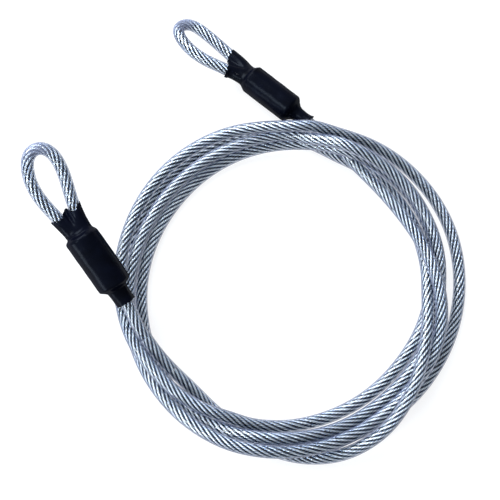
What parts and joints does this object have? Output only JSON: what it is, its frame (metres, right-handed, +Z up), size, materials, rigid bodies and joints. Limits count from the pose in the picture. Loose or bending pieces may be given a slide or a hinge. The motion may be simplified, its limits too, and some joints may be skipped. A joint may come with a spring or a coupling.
{
  "type": "cable lock",
  "caption": "Clear-coated braided steel security cable lying coiled, with a loop eye at each end closed by a ferrule under a black heat-shrink sleeve.",
  "frame": {"origin": "middle of the underside of the object's box, on the plane the coil lies on", "axes": "+Z up through the coil, square to the plane it lies on; the left end's eye is towards -X, the top end's eye towards +Y and -X"},
  "size_m": [0.2802, 0.3054, 0.0717],
  "materials": {
    "clear_jacket": "clear glossy PVC coating with a faint lilac-grey tint",
    "wire_strand": "bright galvanised steel wire, laid in strands",
    "ferrule": "pressed aluminium, dull",
    "heat_shrink": "black polyolefin heat-shrink, satin"
  },
  "bodies": {
    "coil": {"coil_jacket": "clear_jacket", "coil_strand_1": "wire_strand", "coil_strand_2": "wire_strand", "coil_strand_3": "wire_strand", "coil_strand_4": "wire_strand", "coil_strand_5": "wire_strand", "coil_strand_6": "wire_strand", "coil_core": "wire_strand"},
    "left_link": {"link_jacket": "clear_jacket", "link_strand_1": "wire_strand", "link_strand_2": "wire_strand", "link_strand_3": "wire_strand", "link_strand_4": "wire_strand", "link_strand_5": "wire_strand", "link_strand_6": "wire_strand", "link_core": "wire_strand"},
    "left_end": {"left_jacket": "clear_jacket", "left_strand_1": "wire_strand", "left_strand_2": "wire_strand", "left_strand_3": "wire_strand", "left_strand_4": "wire_strand", "left_strand_5": "wire_strand", "left_strand_6": "wire_strand", "left_core": "wire_strand", "left_ferrule": "ferrule", "left_sleeve": "heat_shrink"},
    "top_end": {"top_jacket": "clear_jacket", "top_strand_1": "wire_strand", "top_strand_2": "wire_strand", "top_strand_3": "wire_strand", "top_strand_4": "wire_strand", "top_strand_5": "wire_strand", "top_strand_6": "wire_strand", "top_core": "wire_strand", "top_ferrule": "ferrule", "top_sleeve": "heat_shrink"}
  },
  "joints": [
    {"name": "left_lift", "type": "hinge", "parent": "coil", "child": "left_link", "pos_m": [-0.06109, -0.08303, 0.01857], "axis": [0.7782, 0.6281, 0], "range_deg": [0, 30], "stiffness_Nm_per_rad": 1},
    {"name": "left_swing", "type": "hinge", "parent": "left_link", "child": "left_end", "pos_m": [-0.07258, -0.06688, 0.02611], "axis": [0, 0, 1], "range_deg": [-40, 30], "stiffness_Nm_per_rad": 1},
    {"name": "top_swing", "type": "hinge", "parent": "coil", "child": "top_end", "pos_m": [0.04843, 0.0658, 0.01056], "axis": [0, 0, 1], "range_deg": [-30, 5], "stiffness_Nm_per_rad": 1}
  ]
}
